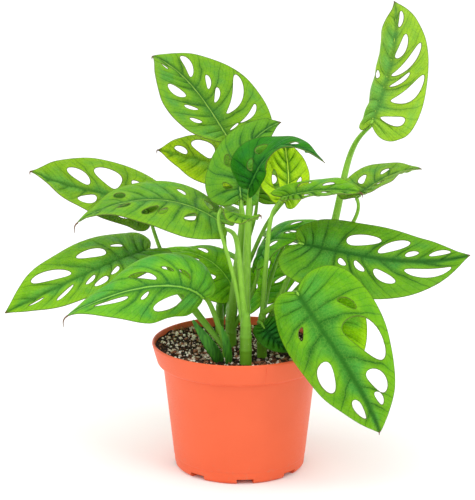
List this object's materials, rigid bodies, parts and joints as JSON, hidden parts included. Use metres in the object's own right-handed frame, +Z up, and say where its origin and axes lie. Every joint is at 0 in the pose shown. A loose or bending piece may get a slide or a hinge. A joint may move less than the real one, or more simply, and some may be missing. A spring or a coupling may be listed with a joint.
{
  "type": "potted monstera adansonii",
  "caption": "Bushy trailing houseplant with windowed heart-shaped leaves on slender stalks, standing in a round plastic nursery pot filled with potting mix.",
  "frame": {"origin": "middle of the pot's foot, on the plane it stands on", "axes": "+Z up, -Y towards the front of the plant as pictured, +X to its right seen from the front"},
  "size_m": [0.3081, 0.2139, 0.3212],
  "materials": {
    "pot": "satin moulded terracotta-coloured plastic",
    "mix": null,
    "stalk": null,
    "leaf": null
  },
  "bodies": {
    "root": {"pot": "pot", "potting_mix": "mix", "shoot_middle": "stalk", "shoot_left": "stalk", "shoot_right": "stalk", "shoot_back": "stalk", "shoot_rear": "stalk", "blade_top_right": "leaf", "blade_top_left": "leaf", "blade_back_left_upper": "leaf", "blade_centre_upright": "leaf", "blade_centre_arched": "leaf", "blade_left_front_upper": "leaf", "blade_centre_small": "leaf", "blade_left_upper": "leaf", "blade_left_lower": "leaf", "blade_front_left": "leaf", "blade_back_left_lower": "leaf", "blade_right": "leaf", "blade_front_right": "leaf", "blade_right_upper": "leaf", "blade_centre_right": "leaf", "blade_back_centre": "leaf", "blade_inner_right": "leaf", "blade_back_right_lower": "leaf", "blade_young_low": "leaf", "blade_back_left": "leaf", "blade_back_upper": "leaf", "blade_back_right": "leaf", "blade_behind_front_right": "leaf"}
  },
  "joints": []
}
